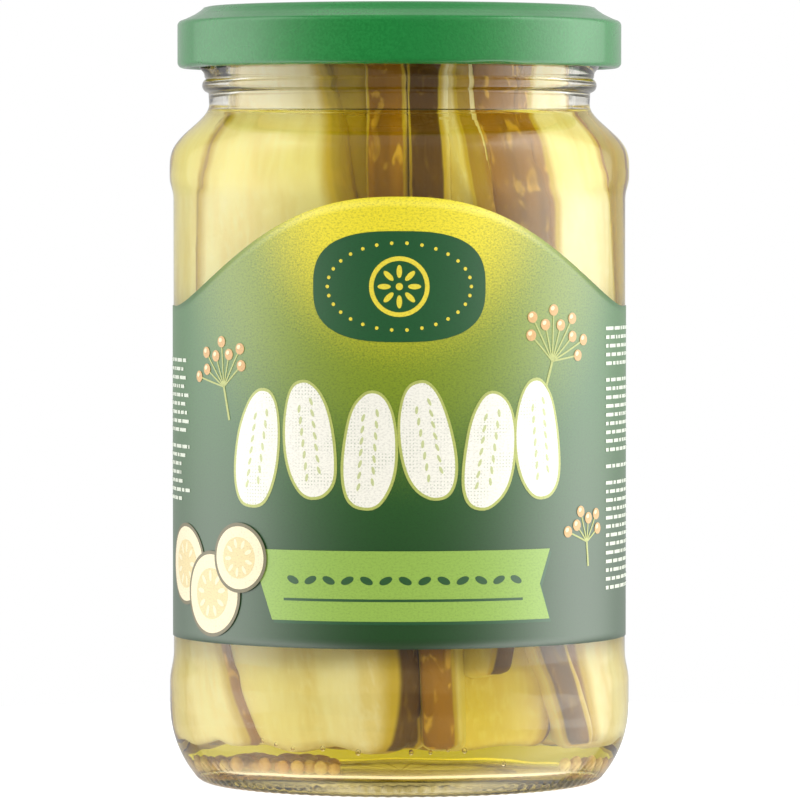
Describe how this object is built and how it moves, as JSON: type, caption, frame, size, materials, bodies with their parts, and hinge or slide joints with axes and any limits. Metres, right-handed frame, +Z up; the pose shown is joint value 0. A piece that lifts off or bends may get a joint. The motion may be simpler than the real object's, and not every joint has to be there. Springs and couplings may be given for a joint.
{
  "type": "pickle jar",
  "caption": "Shut glass jar of lengthwise pickle slices in brine, with a metal twist-off cap and a wrap-round paper label whose top edge is arched.",
  "frame": {"origin": "centre of the base, on the plane that the jar stands on", "axes": "+Z up along the jar's axis; the middle of the label faces -Y; +X is to the right of someone who faces the label"},
  "size_m": [0.072, 0.072, 0.1213],
  "materials": {
    "clear_glass": "clear, polished",
    "green_paint": "satin lacquer on tinplate",
    "label_paper": "satin printed paper",
    "pickle_flesh": "moist flesh and rind",
    "mustard_husk": "moist seed husk",
    "brine": "clear yellow liquid",
    "pickle_rind": "moist bumpy rind"
  },
  "bodies": {
    "root": {"jar": "clear_glass", "lid": "green_paint", "label": "label_paper", "pickles": "pickle_flesh", "mustard_seeds": "mustard_husk"}
  },
  "joints": []
}
